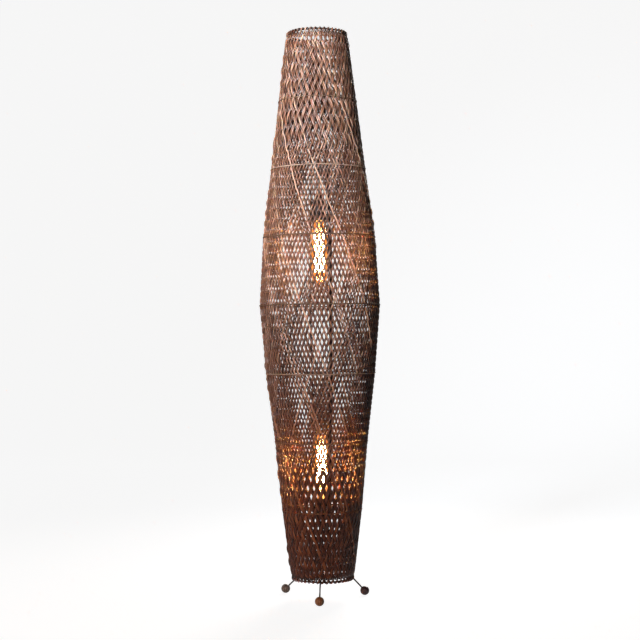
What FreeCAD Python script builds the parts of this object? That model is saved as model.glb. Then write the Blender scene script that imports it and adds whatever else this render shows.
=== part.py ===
"""A tall woven cane floor lamp on three ball feet, with two tubular filament bulbs inside.

The frame is welded steel wire: two rim rings, seven hoops, four ribs and three legs. Canes are woven over it
in one skin that is open at both ends. The upper bulb hangs from a spider on the second hoop, and the lower one
stands on a spider on the seventh. Units are millimetres. The origin is on the lamp's axis at floor level, +Z
is up, and -Y is the front.
"""
import FreeCAD, Part
import math
import os

from FreeCAD import Vector

# Driving dimensions
OVERALL_HEIGHT = 1500.0
BAND_HEIGHT = 180.0
# The skin's outside radius at each ring, from the top rim down
SKIN_RADII = (82.0, 104.0, 126.0, 149.0, 160.0, 145.0, 123.0, 105.5, 83.0)

CANE_THICKNESS = 2.7
RIM_WIRE_RADIUS = 2.5
WIRE_RADIUS = 2.0
TWINE_RADIUS = 1.2
FIT_GAP = 0.1
RIB_COUNT = 4
RIB_START_ANGLE = 10.0
RIB_BEND_RADIUS = 60.0

FOOT_RADIUS = 12.0
FOOT_FLAT_DEPTH = 0.4
# Each foot's angle from the front and its distance from the axis. The hand-bent legs differ a little.
FOOT_PLACES = {"front": (-5.0, 108.0), "right": (109.0, 118.0), "left": (231.0, 130.0)}

UPPER_SPIDER_LEVEL = 2
LOWER_SPIDER_LEVEL = 7
SPIDER_ARM_ANGLES = (55.0, 175.0, 295.0)
HUB_THICKNESS = 3.0
UPPER_HUB_RADIUS = 17.0
LOWER_HUB_RADIUS = 30.0

STEM_RADIUS = 5.0
STEM_BORE_RADIUS = 3.9
STEM_ABOVE_SPIDER = 13.0
NUT_ACROSS_FLATS = 14.0
NUT_THICKNESS = 3.0

HOLDER_LENGTH = 68.0
HOLDER_SKIRT_LENGTH = 41.0
HOLDER_RADIUS = 19.8
HOLDER_WALL = 2.5
HOLDER_NECK_RADIUS = 9.0
HOLDER_NECK_LENGTH = 8.0
INSERT_DEPTH = 33.3
WIRE_HOLE_RADIUS = 1.6
WIRE_HOLE_OFFSET = 11.0
SHELL_INNER_RADIUS = 13.5
SHELL_WALL = 0.5
THREAD_PITCH = 3.629
THREAD_DEPTH = 0.55
THREAD_TURNS = 5
SHADE_RING_RADIUS = 27.0
SHADE_RING_THICKNESS = 7.0
SHADE_RING_NOTCHES = 24
NOTCH_RADIUS = 1.1
NOTCH_OFFSET = 0.4

UPPER_MOUTH_Z = 1000.0
LOWER_MOUTH_ABOVE_SPIDER = 29.0

BULB_CAP_RADIUS = 13.1
BULB_CAP_START = 5.0
BULB_CAP_LENGTH = 22.0
BULB_NECK_RADIUS = 12.6
BULB_RADIUS = 22.5
BULB_VISIBLE_LENGTH = 170.0
BULB_SHOULDER = 42.0
GLASS_WALL = 1.0
FILAMENT_START = 36.0
FILAMENT_END = 136.0
FILAMENT_RUNS = 10
FILAMENT_RADIUS = 0.35
# Share of the filament's length, and the cage's radius there
FILAMENT_PROFILE = ((0.0, 10.5), (0.24, 12.0), (0.48, 9.0), (0.74, 12.0), (1.0, 9.5))

GLAND_BORE_RADIUS = 3.6
GLAND_NUT_RADIUS = 8.0
GLAND_NUT_LENGTH = 14.0
GLAND_NIPPLE_LENGTH = 10.0

LEAD_RADIUS = 2.75
LEAD_BEND_RADIUS = 40.0
LEAD_START_RADIUS = 8.0
LEAD_END_DEPTH = 70.0
LEAD_EXIT_DROP = 16.5
LEAD_RISE_OVER_STEM = 46.0
SLEEVE_WALL = 1.2
TIE_WIDTH = 2.6
TIE_WALL = 0.8

# Heights and radii that follow from them
RIM_WRAP_RADIUS = RIM_WIRE_RADIUS + CANE_THICKNESS
TOP_Z = OVERALL_HEIGHT - RIM_WRAP_RADIUS
LEVEL_COUNT = len(SKIN_RADII)
LEVEL_Z = [TOP_Z - BAND_HEIGHT * level for level in range(LEVEL_COUNT)]
SKIN_THICKNESS = 2 * CANE_THICKNESS + FIT_GAP
HOOP_INSET = SKIN_THICKNESS + WIRE_RADIUS + FIT_GAP
RIB_INSET = HOOP_INSET + 2 * WIRE_RADIUS + FIT_GAP / 2
UP = Vector(0, 0, 1)
ORIGIN = Vector(0, 0, 0)


def polar(radius, angle, z):
    """A point at an angle counted from the front, -Y, towards +X."""
    turn = math.radians(angle)
    return Vector(radius * math.sin(turn), -radius * math.cos(turn), z)


def revolved(profile):
    """A solid of revolution about Z from closed (radius, z) corners."""
    corners = [Vector(radius, 0, z) for radius, z in profile]
    face = Part.Face(Part.makePolygon(corners + corners[:1]))
    return face.revolve(ORIGIN, UP, 360)


def torus(ring_radius, wire_radius, z):
    return Part.makeTorus(ring_radius, wire_radius, Vector(0, 0, z), UP)


def rod(start, end, radius):
    along = end - start
    return Part.makeCylinder(radius, along.Length, start, along)


def rounded_path(points, bend_radius):
    """Straight runs through the points, with each corner rounded by a tangent arc."""
    edges, last = [], points[0]
    for before, corner, after in zip(points, points[1:], points[2:]):
        back = (before - corner).normalize()
        ahead = (after - corner).normalize()
        half_turn = (math.pi - back.getAngle(ahead)) / 2
        reach = bend_radius * math.tan(half_turn)
        middle = corner + (back + ahead).normalize() * bend_radius * (1 / math.cos(half_turn) - 1)
        start, end = corner + back * reach, corner + ahead * reach
        edges += [Part.LineSegment(last, start).toShape(), Part.Arc(start, middle, end).toShape()]
        last = end
    return Part.Wire(edges + [Part.LineSegment(last, points[-1]).toShape()])


def swept_rod(points, radius, bend_radius):
    path = rounded_path(points, bend_radius)
    section = Part.Wire(Part.makeCircle(radius, points[0], points[1] - points[0]))
    return path.makePipeShell([section], True, False), path.Length


def hex_nut(z, bore_radius):
    corner_radius = NUT_ACROSS_FLATS / math.sqrt(3)
    corners = [polar(corner_radius, 60 * side, z) for side in range(7)]
    prism = Part.Face(Part.makePolygon(corners)).extrude(UP * NUT_THICKNESS)
    return prism.cut(Part.makeCylinder(bore_radius, NUT_THICKNESS, Vector(0, 0, z), UP))


def make_rings():
    nodes = {"top_rim_ring": torus(SKIN_RADII[0] - RIM_WRAP_RADIUS, RIM_WIRE_RADIUS, LEVEL_Z[0])}
    for level in range(1, LEVEL_COUNT - 1):
        nodes[f"hoop_{level}"] = torus(SKIN_RADII[level] - HOOP_INSET, WIRE_RADIUS, LEVEL_Z[level])
    nodes["bottom_rim_ring"] = torus(SKIN_RADII[-1] - RIM_WRAP_RADIUS, RIM_WIRE_RADIUS, LEVEL_Z[-1])
    return nodes


def rib_radius(level):
    """The rib's centre line at a hoop: inside the hoop, or inside the rim ring at either end."""
    if level in (0, LEVEL_COUNT - 1):
        return SKIN_RADII[level] - RIM_WRAP_RADIUS - RIM_WIRE_RADIUS - WIRE_RADIUS - FIT_GAP / 2
    return SKIN_RADII[level] - RIB_INSET


def make_ribs():
    nodes = {}
    for number in range(RIB_COUNT):
        angle = RIB_START_ANGLE + 360 / RIB_COUNT * number
        points = [polar(rib_radius(level), angle, LEVEL_Z[level]) for level in range(LEVEL_COUNT)]
        nodes[f"rib_{number + 1}"], _ = swept_rod(points, WIRE_RADIUS, RIB_BEND_RADIUS)
    return nodes


def make_legs(bottom_ring):
    legs, feet = {}, {}
    for side, (angle, distance) in FOOT_PLACES.items():
        weld = polar(SKIN_RADII[-1] - RIM_WRAP_RADIUS, angle, LEVEL_Z[-1])
        centre = polar(distance, angle, FOOT_RADIUS - FOOT_FLAT_DEPTH)
        leg = rod(weld, centre, WIRE_RADIUS)
        ball = Part.makeSphere(FOOT_RADIUS, centre)
        below = Vector(centre.x, centre.y, -FOOT_RADIUS)
        under_floor = Part.makeCylinder(2 * FOOT_RADIUS, FOOT_RADIUS, below, UP)
        feet[f"foot_{side}"] = ball.cut(under_floor).cut(leg)
        legs[f"leg_{side}"] = leg.cut(bottom_ring)
    return legs, feet


def make_skin(through_parts):
    """The woven skin, one closed band between each pair of hoops, with the wraps around both rim rings."""
    nodes = {}
    for band in range(LEVEL_COUNT - 1):
        top, bottom = LEVEL_Z[band], LEVEL_Z[band + 1]
        outer_top, outer_bottom = SKIN_RADII[band], SKIN_RADII[band + 1]
        solid = revolved([
            (outer_top, top),
            (outer_bottom, bottom),
            (outer_bottom - SKIN_THICKNESS, bottom),
            (outer_top - SKIN_THICKNESS, top),
        ])
        for rim_level in (0, LEVEL_COUNT - 1):
            if rim_level in (band, band + 1):
                ring_radius = SKIN_RADII[rim_level] - RIM_WRAP_RADIUS
                solid = solid.fuse(torus(ring_radius, RIM_WRAP_RADIUS, LEVEL_Z[rim_level]))
                solid = solid.cut(torus(ring_radius, RIM_WIRE_RADIUS, LEVEL_Z[rim_level]))
                for part in through_parts:
                    solid = solid.cut(part)
        nodes[f"weave_band_{band + 1}"] = solid
    return nodes


def make_twine():
    """A thin binding twine around the outside of the skin at each hoop."""
    rings = [
        torus(SKIN_RADII[level] + TWINE_RADIUS + FIT_GAP, TWINE_RADIUS, LEVEL_Z[level])
        for level in range(1, LEVEL_COUNT - 1)
    ]
    return Part.makeCompound(rings)


def make_spider(level, hub_radius, hole_radius, hoop):
    z = LEVEL_Z[level]
    hub = Part.makeCylinder(hub_radius, HUB_THICKNESS, Vector(0, 0, z - HUB_THICKNESS / 2), UP)
    spider = hub
    for angle in SPIDER_ARM_ANGLES:
        root = polar(hub_radius - WIRE_RADIUS, angle, z)
        tip = polar(SKIN_RADII[level] - HOOP_INSET, angle, z)
        spider = spider.fuse(rod(root, tip, WIRE_RADIUS))
    hole = Part.makeCylinder(hole_radius, 4 * WIRE_RADIUS, Vector(0, 0, z - 2 * WIRE_RADIUS), UP)
    return spider.cut(hole).cut(hoop)


def placed(shape, mouth_z, facing):
    """Moves a holder or bulb part, modelled with its mouth at z = 0 and facing +Z, to a lamp position."""
    moved = shape.copy()
    if facing < 0:
        moved.rotate(ORIGIN, Vector(1, 0, 0), 180)
    moved.translate(Vector(0, 0, mouth_z))
    return moved


def ribbed_wall(inner_radius, outer_radius, start_z, length):
    """The corners of a rolled thread's wall, as rounded ribs one pitch apart."""
    steps = THREAD_TURNS * 8
    outline = []
    for step in range(steps + 1):
        wave = math.sin(2 * math.pi * THREAD_TURNS * step / steps) * THREAD_DEPTH / 2
        outline.append((outer_radius - THREAD_DEPTH / 2 + wave, start_z - length * step / steps))
    inner = [(inner_radius - THREAD_DEPTH / 2 + (r - outer_radius + THREAD_DEPTH / 2), z) for r, z in outline]
    return outline + inner[::-1]


def make_holder_parts():
    """One screw lamp holder, mouth at z = 0, facing +Z, with its neck at z = -HOLDER_LENGTH."""
    bore = HOLDER_RADIUS - HOLDER_WALL
    body = revolved([
        (bore, 0), (HOLDER_RADIUS, 0), (HOLDER_RADIUS, -HOLDER_SKIRT_LENGTH), (bore, -HOLDER_SKIRT_LENGTH),
    ])
    neck_top = -HOLDER_LENGTH + HOLDER_NECK_LENGTH
    shoulder_z = -HOLDER_SKIRT_LENGTH - 12
    cap = revolved([
        (HOLDER_RADIUS, -HOLDER_SKIRT_LENGTH),
        (HOLDER_RADIUS, shoulder_z + 4), (HOLDER_RADIUS - 2, shoulder_z),
        (HOLDER_NECK_RADIUS, neck_top), (HOLDER_NECK_RADIUS, -HOLDER_LENGTH), (STEM_RADIUS, -HOLDER_LENGTH),
        (STEM_RADIUS, neck_top), (HOLDER_RADIUS - 2 - HOLDER_WALL, shoulder_z + 2), (bore, shoulder_z + 5),
        (bore, -HOLDER_SKIRT_LENGTH),
    ])
    back = Vector(0, 0, -HOLDER_SKIRT_LENGTH)
    insert = Part.makeCylinder(bore, HOLDER_SKIRT_LENGTH - INSERT_DEPTH, back, UP)
    for side in (-1, 1):
        entry = Vector(WIRE_HOLE_OFFSET * side, 0, -HOLDER_SKIRT_LENGTH - 1)
        insert = insert.cut(Part.makeCylinder(WIRE_HOLE_RADIUS, HOLDER_SKIRT_LENGTH, entry, UP))
    shell_top = -BULB_CAP_START
    thread_length = THREAD_PITCH * THREAD_TURNS
    thread_start = shell_top - 2
    inner, outer = SHELL_INNER_RADIUS, SHELL_INNER_RADIUS + SHELL_WALL
    thread = ribbed_wall(inner + THREAD_DEPTH, outer + THREAD_DEPTH, thread_start, thread_length)
    half = len(thread) // 2
    shell = revolved(
        [(outer + THREAD_DEPTH / 2, shell_top)] + thread[:half]
        + [(outer, -INSERT_DEPTH), (inner, -INSERT_DEPTH)]
        + thread[half:] + [(inner + THREAD_DEPTH / 2, shell_top)]
    )
    leaf = Part.makeBox(18, 6, 0.7, Vector(-9, -3, -INSERT_DEPTH))
    return {"body": body, "cap": cap, "insert": insert, "screw_shell": shell, "contact": leaf}


def make_shade_ring(top_z):
    """A ring that screws on the holder, with bevelled edges and finger notches round it."""
    foot_z = top_z - SHADE_RING_THICKNESS
    inner, outer = HOLDER_RADIUS + FIT_GAP, SHADE_RING_RADIUS
    ring = revolved([
        (inner, top_z), (outer - 1, top_z), (outer, top_z - 1),
        (outer, foot_z + 1), (outer - 1, foot_z), (inner, foot_z),
    ])
    notches = []
    for number in range(SHADE_RING_NOTCHES):
        centre = polar(outer + NOTCH_OFFSET, 360 / SHADE_RING_NOTCHES * number, foot_z)
        notches.append(Part.makeCylinder(NOTCH_RADIUS, SHADE_RING_THICKNESS, centre, UP))
    return ring.cut(Part.makeCompound(notches))


def glass_outline(wall):
    """Corners of the bulb from its neck to its tip, at a wall thickness inside the outer surface."""
    tip = BULB_VISIBLE_LENGTH - wall
    dome_start = BULB_VISIBLE_LENGTH - 1.35 * BULB_RADIUS
    body, neck = BULB_RADIUS - wall, BULB_NECK_RADIUS - wall
    outline = [(neck, -BULB_CAP_START + wall), (neck, 4.0)]
    for step in range(1, 13):
        share = step / 12
        ease = share * share * (3 - 2 * share)
        outline.append((neck + (body - neck) * ease, 4.0 + (BULB_SHOULDER - 4.0) * share))
    for step in range(13):
        turn = math.pi / 2 * step / 12
        outline.append((body * math.cos(turn), dome_start + (tip - dome_start) * math.sin(turn)))
    outline[-1] = (0, tip)
    return outline


def make_bulb_parts():
    """One tubular filament bulb in its holder's frame: its cap goes down the mouth at z = 0."""
    wall = revolved(glass_outline(0) + [(0, -BULB_CAP_START)])
    glass = wall.cut(revolved(glass_outline(GLASS_WALL) + [(0, -BULB_CAP_START + GLASS_WALL)]))

    cap_end = -BULB_CAP_START - BULB_CAP_LENGTH
    thread_length = THREAD_PITCH * THREAD_TURNS
    thread = ribbed_wall(BULB_CAP_RADIUS - 0.5, BULB_CAP_RADIUS, -BULB_CAP_START - 2.5, thread_length)
    half = len(thread) // 2
    seat = BULB_NECK_RADIUS
    cap = revolved(
        [(seat + 0.4, -BULB_CAP_START + 3)] + thread[:half] + [(10.5, cap_end), (9.9, cap_end)] + thread[half:]
        + [(seat - 0.6, -BULB_CAP_START), (seat, -BULB_CAP_START), (seat, -BULB_CAP_START + 3)]
    )
    insulator = revolved([
        (0, cap_end), (10.4, cap_end), (9.0, cap_end - 2.2), (5.0, cap_end - 4.0), (0, cap_end - 4.0),
    ])
    tip = revolved([(0, cap_end - 4.0), (4.6, cap_end - 4.0), (3.4, cap_end - 5.0), (0, cap_end - 5.2)])

    foot = -BULB_CAP_START + GLASS_WALL
    mount = revolved([
        (0, foot), (9.0, foot), (5.0, 6.0), (3.4, 16.0), (1.5, 22.0), (1.5, FILAMENT_END - 2),
        (2.6, FILAMENT_END), (0, FILAMENT_END + 2),
    ])
    length = FILAMENT_END - FILAMENT_START
    cage = [(radius, FILAMENT_START + length * share) for share, radius in FILAMENT_PROFILE]
    hooks, filament = [], []
    for run in range(FILAMENT_RUNS):
        angle = 360 / FILAMENT_RUNS * run
        points = [polar(radius, angle, z) for radius, z in cage]
        for start, end in zip(points, points[1:]):
            filament.append(rod(start, end, FILAMENT_RADIUS))
        for point in points:
            filament.append(Part.makeSphere(FILAMENT_RADIUS, point))
        link_level = 0 if run % 2 else -1
        neighbour = polar(cage[link_level][0], angle + 360 / FILAMENT_RUNS, cage[link_level][1])
        if run < FILAMENT_RUNS - 1:
            filament.append(rod(points[link_level], neighbour, FILAMENT_RADIUS))
        hook_level = 2 if run % 2 else -1
        reach = cage[hook_level][0] - FILAMENT_RADIUS - FIT_GAP
        z = cage[hook_level][1]
        hooks.append(rod(polar(0.5, angle, z - 1.0), polar(reach, angle, z - 1.0), 0.25))
    return {
        "glass": glass,
        "cap": cap,
        "insulator": insulator,
        "contact": tip,
        "mount": mount.multiFuse(hooks),
        "filament": filament[0].multiFuse(filament[1:]),
    }


def lead_column():
    """The lead's centre line beside the first rib, from the lower spider to the upper one."""
    rib_angle = RIB_START_ANGLE
    beside = polar(1, rib_angle + 90, 0) * (WIRE_RADIUS + LEAD_RADIUS + 2 * FIT_GAP)
    inset = HOOP_INSET + WIRE_RADIUS + LEAD_RADIUS + 2 * FIT_GAP
    levels = range(LOWER_SPIDER_LEVEL, UPPER_SPIDER_LEVEL - 1, -1)
    return [polar(SKIN_RADII[level] - inset, rib_angle, LEVEL_Z[level]) + beside for level in levels]


def extended(before, end, z):
    """The point at height z on the line through two points."""
    return end + (end - before) * ((z - end.z) / (end.z - before.z))


def make_lead(stem_top):
    """The lead from the lower holder, up beside the first rib, and over into the stem of the upper holder."""
    column = lead_column()
    exit_z = LEVEL_Z[LOWER_SPIDER_LEVEL] - LEAD_EXIT_DROP
    crown_z = stem_top + LEAD_RISE_OVER_STEM
    low_corner = extended(column[1], column[0], exit_z)
    high_corner = extended(column[-2], column[-1], crown_z)
    outward = Vector(low_corner.x, low_corner.y, 0).normalize()
    start = outward * LEAD_START_RADIUS + Vector(0, 0, exit_z)
    end = Vector(0, 0, stem_top - LEAD_END_DEPTH)
    points = [start, low_corner, *column[1:-1], high_corner, Vector(0, 0, crown_z), end]
    solid, length = swept_rod(points, LEAD_RADIUS, LEAD_BEND_RADIUS)
    return solid, length, outward


def make_ties():
    """Cable ties that hold the lead to the first rib, two between each pair of hoops."""
    ties = []
    rib = [polar(rib_radius(level), RIB_START_ANGLE, LEVEL_Z[level]) for level in range(LEVEL_COUNT)]
    column = lead_column()[::-1]
    for band, (lead_top, lead_bottom) in enumerate(zip(column, column[1:])):
        level = UPPER_SPIDER_LEVEL + band
        for share in (0.3, 0.7):
            rib_point = rib[level] + (rib[level + 1] - rib[level]) * share
            lead_point = lead_top + (lead_bottom - lead_top) * share
            along = (rib[level] - rib[level + 1]).normalize()
            across = lead_point - rib_point
            across = (across - along * across.dot(along)).normalize()
            side = along.cross(across)
            base = rib_point - along * (TIE_WIDTH / 2)
            gap = (lead_point - rib_point).Length

            def loop(offset):
                left, right = WIRE_RADIUS + offset, LEAD_RADIUS + offset
                tilt = math.acos((left - right) / gap)
                tangents = []
                for centre, radius in ((0, left), (gap, right)):
                    foot = base + across * (centre + radius * math.cos(tilt))
                    reach = side * radius * math.sin(tilt)
                    tangents.append((foot + reach, foot - reach))
                (a_up, a_down), (b_up, b_down) = tangents
                edges = [
                    Part.LineSegment(a_up, b_up).toShape(),
                    Part.Arc(b_up, base + across * (gap + right), b_down).toShape(),
                    Part.LineSegment(b_down, a_down).toShape(),
                    Part.Arc(a_down, base - across * left, a_up).toShape(),
                ]
                return Part.Face(Part.Wire(edges)).extrude(along * TIE_WIDTH)

            ties.append(loop(FIT_GAP + TIE_WALL).cut(loop(FIT_GAP)))
    return Part.makeCompound(ties)


def make_gland(neck_z):
    """The cord inlet under the lower holder: a nipple in the holder's neck with a grip nut below it."""
    foot_z = neck_z - GLAND_NUT_LENGTH
    top_z = neck_z + GLAND_NIPPLE_LENGTH
    return revolved([
        (GLAND_BORE_RADIUS, top_z), (STEM_RADIUS, top_z), (STEM_RADIUS, neck_z),
        (GLAND_NUT_RADIUS, neck_z), (GLAND_NUT_RADIUS, neck_z - GLAND_NUT_LENGTH / 2),
        (GLAND_NUT_RADIUS - 1.5, foot_z), (GLAND_BORE_RADIUS, foot_z),
    ])


def make_bushings(stem_top, exit_z, outward):
    """Soft sleeves where the lead enters the stem and where it leaves the lower holder."""
    inner = LEAD_RADIUS + FIT_GAP
    stem_sleeve = revolved([
        (inner, stem_top - 6), (STEM_BORE_RADIUS, stem_top - 6), (STEM_BORE_RADIUS, stem_top),
        (STEM_RADIUS + 1, stem_top), (STEM_RADIUS, stem_top + 3), (inner, stem_top + 3),
    ])
    centre = Vector(0, 0, exit_z)
    start, end = centre + outward * (HOLDER_RADIUS - 6.5), centre + outward * (HOLDER_RADIUS + 3)
    side_sleeve = rod(start, end, inner + SLEEVE_WALL).cut(rod(start, end, inner))
    return stem_sleeve, side_sleeve


def build():
    rings = make_rings()
    ribs = make_ribs()
    legs, feet = make_legs(rings["bottom_rim_ring"])
    nodes = {**rings, **ribs, **legs, **feet}
    nodes.update(make_skin([*ribs.values(), *legs.values()]))
    nodes["binding_twine"] = make_twine()

    upper_z, lower_z = LEVEL_Z[UPPER_SPIDER_LEVEL], LEVEL_Z[LOWER_SPIDER_LEVEL]
    lower_mouth = lower_z + LOWER_MOUTH_ABOVE_SPIDER
    nodes["upper_spider"] = make_spider(
        UPPER_SPIDER_LEVEL, UPPER_HUB_RADIUS, STEM_RADIUS + FIT_GAP, rings[f"hoop_{UPPER_SPIDER_LEVEL}"])
    nodes["lower_spider"] = make_spider(
        LOWER_SPIDER_LEVEL, LOWER_HUB_RADIUS, HOLDER_RADIUS + FIT_GAP, rings[f"hoop_{LOWER_SPIDER_LEVEL}"])

    neck_end = UPPER_MOUTH_Z + HOLDER_LENGTH
    stem_foot = neck_end - HOLDER_NECK_LENGTH
    stem_top = upper_z + STEM_ABOVE_SPIDER
    nodes["stem_tube"] = revolved([
        (STEM_BORE_RADIUS, stem_foot), (STEM_RADIUS, stem_foot),
        (STEM_RADIUS, stem_top), (STEM_BORE_RADIUS, stem_top),
    ])
    nut_levels = (upper_z + HUB_THICKNESS / 2, upper_z - HUB_THICKNESS / 2 - NUT_THICKNESS, neck_end)
    nodes["stem_nuts"] = Part.makeCompound([hex_nut(z, STEM_RADIUS) for z in nut_levels])

    lead, lead_length, outward = make_lead(stem_top)
    exit_z = lower_z - LEAD_EXIT_DROP
    stem_sleeve, side_sleeve = make_bushings(stem_top, exit_z, outward)
    nodes["inner_lead"] = lead
    nodes["lead_bushings"] = Part.makeCompound([stem_sleeve, side_sleeve])
    nodes["lead_ties"] = make_ties()
    nodes["inlet_gland"] = make_gland(lower_mouth - HOLDER_LENGTH)

    for place, mouth, facing in (("upper", UPPER_MOUTH_Z, -1), ("lower", lower_mouth, 1)):
        for name, shape in make_holder_parts().items():
            nodes[f"{place}_holder_{name}"] = placed(shape, mouth, facing)
        for name, shape in make_bulb_parts().items():
            nodes[f"{place}_bulb_{name}"] = placed(shape, mouth, facing)
    centre = Vector(0, 0, exit_z)
    side_hole = rod(centre, centre + outward * 2 * HOLDER_RADIUS, LEAD_RADIUS + FIT_GAP + SLEEVE_WALL)
    nodes["lower_holder_cap"] = nodes["lower_holder_cap"].cut(side_hole)

    mouth_rings = [make_shade_ring(-2), make_shade_ring(-2 - SHADE_RING_THICKNESS - 1)]
    nodes["upper_shade_rings"] = placed(Part.makeCompound(mouth_rings), UPPER_MOUTH_Z, -1)
    clamp_tops = (HUB_THICKNESS / 2 + SHADE_RING_THICKNESS, -HUB_THICKNESS / 2)
    clamp_rings = [make_shade_ring(top_z) for top_z in clamp_tops]
    nodes["lower_shade_rings"] = placed(Part.makeCompound(clamp_rings), lower_z, 1)
    return nodes, lead_length


def check_and_write(nodes):
    """Writes each node's STEP file, and stops if a node isn't made of closed, valid solids."""
    os.makedirs("parts", exist_ok=True)
    for old in os.listdir("parts"):
        if old[:-5] not in nodes:
            os.remove(os.path.join("parts", old))
    for name, shape in nodes.items():
        if not shape.Solids or not shape.isValid():
            raise ValueError(f"{name} isn't a valid solid")
        shape.exportStep(f"parts/{name}.step")


NODES, LEAD_LENGTH = build()
check_and_write(NODES)
LEAD_VOLUME = math.pi * LEAD_RADIUS**2 * LEAD_LENGTH
print(f"{len(NODES)} nodes; lead {LEAD_LENGTH:.0f} mm long, bends {LEAD_BEND_RADIUS:.0f} mm,",
      f"volume {NODES['inner_lead'].Volume / LEAD_VOLUME:.4f} of its section times its length")
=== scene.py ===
import math

import bpy
import numpy as np
from mathutils import Euler, Matrix, Vector


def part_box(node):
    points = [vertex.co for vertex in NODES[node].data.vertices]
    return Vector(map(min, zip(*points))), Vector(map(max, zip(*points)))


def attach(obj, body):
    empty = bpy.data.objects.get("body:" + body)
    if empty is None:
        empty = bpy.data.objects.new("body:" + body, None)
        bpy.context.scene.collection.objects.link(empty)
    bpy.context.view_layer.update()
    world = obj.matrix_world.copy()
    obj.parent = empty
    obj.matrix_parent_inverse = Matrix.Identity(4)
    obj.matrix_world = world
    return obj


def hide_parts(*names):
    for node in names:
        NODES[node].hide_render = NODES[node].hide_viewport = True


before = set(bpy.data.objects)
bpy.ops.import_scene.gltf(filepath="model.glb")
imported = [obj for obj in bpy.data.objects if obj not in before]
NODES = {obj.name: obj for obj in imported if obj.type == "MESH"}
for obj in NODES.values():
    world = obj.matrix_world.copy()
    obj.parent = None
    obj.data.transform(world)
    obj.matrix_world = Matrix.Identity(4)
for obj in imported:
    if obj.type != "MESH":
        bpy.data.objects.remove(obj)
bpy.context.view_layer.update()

RNG = np.random.default_rng(20)
MM = 0.001
LEVELS = 9
RING_NODES = ["top_rim_ring"] + [f"hoop_{k}" for k in range(1, 8)] + ["bottom_rim_ring"]

# The weave: pairs of canes that lean each way
CANE_HALF_WIDTH = 2.15 * MM
CANE_THICKNESS = 2.7 * MM
WAVE = CANE_THICKNESS / 2
WAVE_FLATNESS = 1.5
LEAN = math.radians(20.0)
PAIRS = 42
PAIR_STEP = 4.1 * MM            # between the two canes of a pair, where they lie side by side
EVEN_TOP, EVEN_BOTTOM = 2, 6    # the levels between which all canes are evenly spaced
SPREAD_LENGTH = 0.12            # over which a pair spreads to that even spacing
RIM_WIRE_RADIUS = 2.5 * MM
RIM_WRAP = RIM_WIRE_RADIUS + CANE_THICKNESS / 2
RIM_TURN = 0.072                # angle that a cane moves on while it goes round a rim ring
RIM_CURL = 0.014                # over which a cane leaves the rim ring for the weave
SECOND_CANE_END = 0.006         # from the rim ring to the end of a pair's second cane
SECOND_CANE_TUCK = 0.012        # over which that end goes in behind the others
PAIR_OPEN = (0.004, 0.022)      # start and length of a pair's spreading to both sides of its first cane
RIM_FILL = (0.013, 0.007)       # start and length of the second cane's return from the gap at a rim
SLOT_ROW = ((0.014, 0.007), (0.030, 0.012))  # starts and lengths of the top slots' opening and closing
SLOT_ROW_STEP = 0.50            # PAIR_STEP's share in that row
FLOAT_REACH = (0.22, 0.34)      # half the length over which a pale cane floats
FLOAT_EASE = 0.03
FLOAT_RIM = (0.012, 0.02)       # start and length of the floats' fading in from a rim
HOOP_HOLD = (0.003, 0.012)      # half the held length at a hoop, and how fast a float rises beside it
OWN_WANDER = ((9.0, 0.60), (23.0, 0.22), (51.0, 0.08))  # each cane's own: radians a metre, and millimetres
WIDE_TOP, WIDE_LENGTH, WIDE_GAIN = 0.46, 0.24, 0.20  # canes widen below this height
STEPS_PER_ROW = 8
CANE_SIDES = 8
WRAP_STEPS = 10
CANES_PER_PIECE = 14

# Tints of single canes, from 0 for the darkest to 1
TINT_MEAN, TINT_SPREAD, TINT_TOP = 0.45, 0.19, 0.79
PALE_TINT = 0.80                # canes above this one are the pale ones
PALE_LOW, PALE_RANGE = 0.85, 0.15
PALE_SHARE = {1: 0.04, -1: 0.17}  # of right-leaning and left-leaning canes
HOLLOW_SHADE, CREST_HIGHLIGHT = 0.50, 1.35  # painted shade: brightness in the weave's hollows, and the painted highlight that its crests add on their outward side
FOOT_SHADE = (0.56, 0.32, 0.18)  # painted shade, darker and warmer: multiplies the colour below FOOT_SHADE_FULL, and less up to FOOT_SHADE_TOP
FOOT_SHADE_TOP, FOOT_SHADE_FULL = 0.80, 0.20

# Twine round each hoop, with its tint from the upper hoop down
TWINE_TONES = (0.30, 0.85, 0.10, 0.10, 0.80, 0.70, 0.88)
TWINE_RADIUS = 0.85 * MM
TWINE_POINTS = 14 * 2 * PAIRS
TWINE_SIDES = 6

# Bulbs, in millimetres from the holder's mouth
GLASS_RADIUS, NECK_RADIUS, GLASS_WALL = 22.5, 12.6, 1.0
GLASS_FOOT, NECK_END, SHOULDER_LENGTH, GLASS_TIP, DOME_HEIGHT = -5.0, 4.0, 38.0, 170.0, 30.0
STRAIGHT_RINGS = (70.0, 105.0)
CURVE_STEPS = 24
FILAMENT_RUNS, FILAMENT_POINTS = 16, 33
FILAMENT_START, FILAMENT_END = 36.0, 136.0
FILAMENT_CAGE = ((0.0, 11.5), (0.24, 13.6), (0.48, 9.2), (0.74, 13.4), (1.0, 11.0))
FILAMENT_RADIUS, FILAMENT_SIDES = 0.8 * MM, 6
FILAMENT_STRENGTH = {"upper": 235.0, "lower": 420.0}


# ---------------------------------------------------------------- materials

def new_material(name):
    mat = bpy.data.materials.new(name)
    mat.use_nodes = True
    tree = mat.node_tree
    return mat, tree, tree.nodes["Principled BSDF"]


def set_inputs(made, **values):
    """Sets a node's own sockets. An underscore stands for a space in a socket's name."""
    for key, value in values.items():
        made.inputs[key.replace("_", " ")].default_value = value
    return made


def node(tree, kind, **values):
    return set_inputs(tree.nodes.new(kind), **values)


def attribute(tree, name, output):
    made = tree.nodes.new("ShaderNodeAttribute")
    made.attribute_name = name
    return made.outputs[output]


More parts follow.
